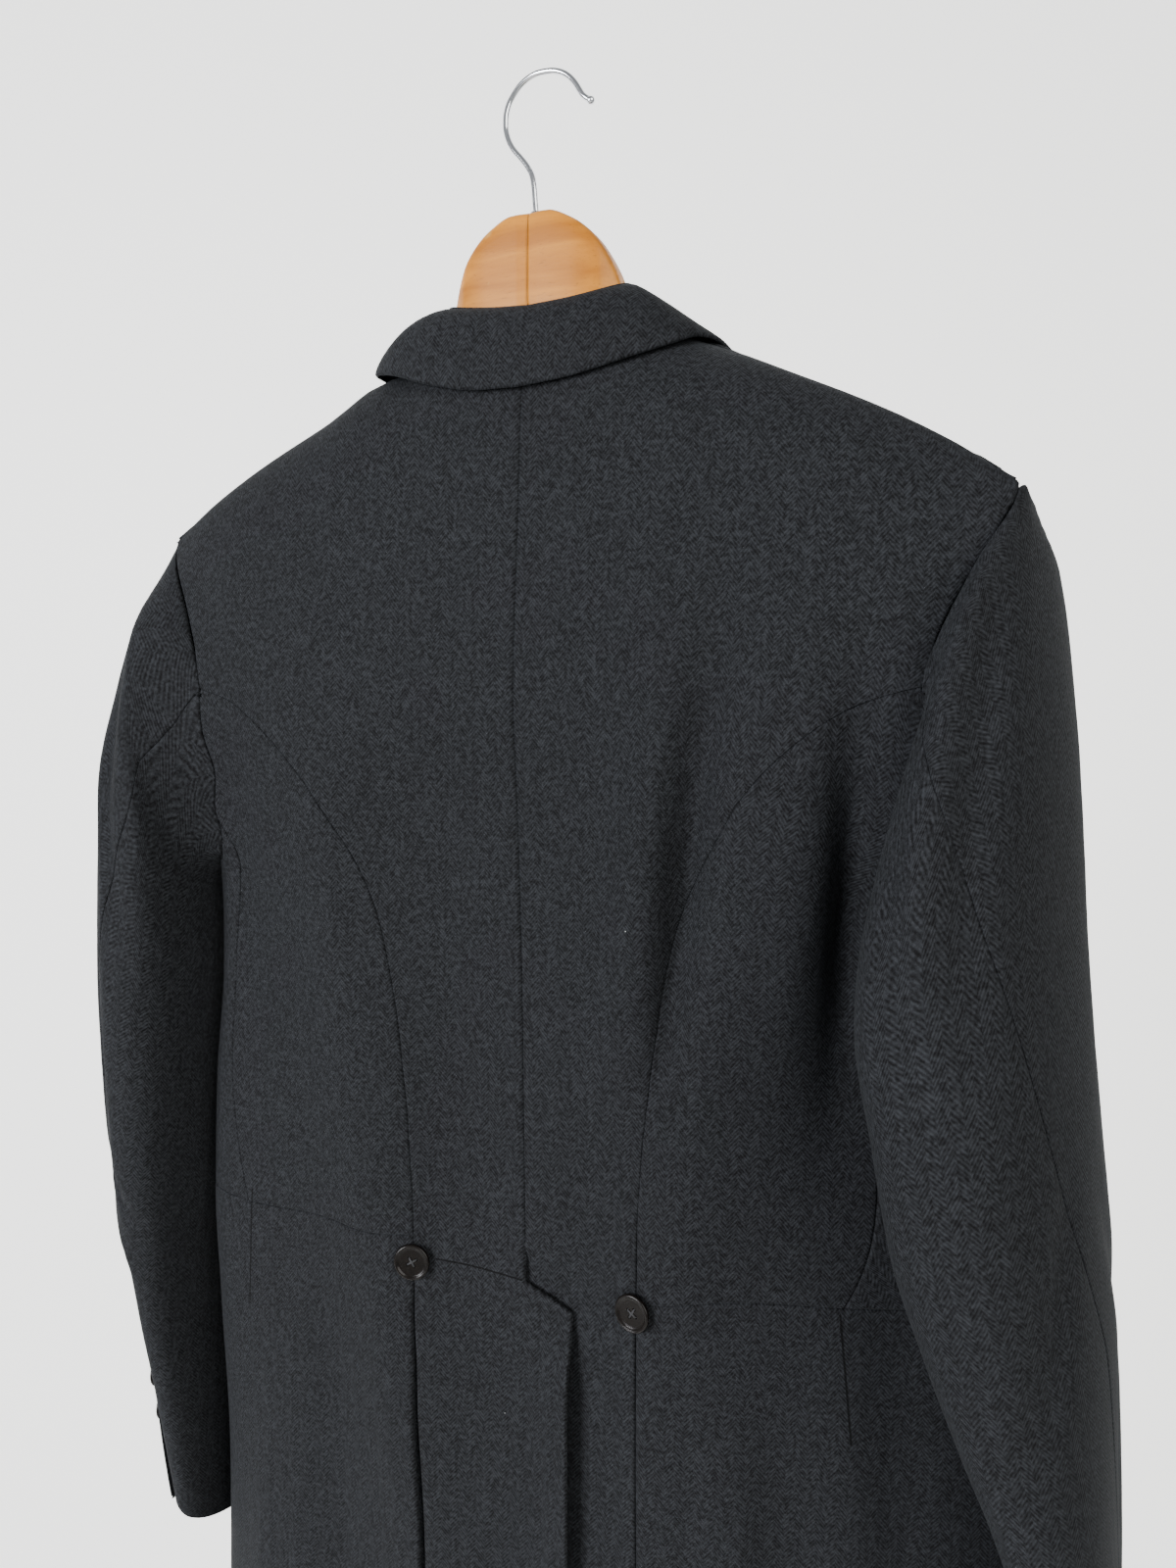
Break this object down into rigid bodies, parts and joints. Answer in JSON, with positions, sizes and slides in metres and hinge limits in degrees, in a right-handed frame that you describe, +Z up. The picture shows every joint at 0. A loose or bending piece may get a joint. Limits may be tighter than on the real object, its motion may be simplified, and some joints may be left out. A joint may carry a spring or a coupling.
{
  "type": "morning coat on a wooden coat hanger",
  "caption": "Herringbone morning coat with cut-away skirts, peaked lapels and a lapped back vent, on a wooden hanger with a bent wire hook.",
  "frame": {"origin": "hanging point: the inside of the top of the hook's bend", "axes": "+Z up, +Y the way the wearer would face, +X the wearer's right, the coat's back towards -Y"},
  "size_m": [0.587, 0.2387, 1.1438],
  "materials": {
    "worsted": "fine herringbone wool, charcoal",
    "button": "polished dark horn colour",
    "wood": "pale clear-varnished wood",
    "chrome": "plated wire"
  },
  "bodies": {
    "root": {"back_left": "worsted", "sidebody_left": "worsted", "forepart_left": "worsted", "skirt_left": "worsted", "under_sleeve_left": "worsted", "top_sleeve_left": "worsted", "lapel_left": "worsted", "back_right": "worsted", "sidebody_right": "worsted", "forepart_right": "worsted", "skirt_right": "worsted", "under_sleeve_right": "worsted", "top_sleeve_right": "worsted", "lapel_right": "worsted", "collar_fall": "worsted", "collar_stand": "worsted", "waist_button_left": "button", "cuff_button_left_1": "button", "cuff_button_left_2": "button", "cuff_button_left_3": "button", "waist_button_right": "button", "cuff_button_right_1": "button", "cuff_button_right_2": "button", "cuff_button_right_3": "button", "front_button": "button", "hanger_left": "wood", "hanger_right": "wood", "hook": "chrome"}
  },
  "joints": []
}
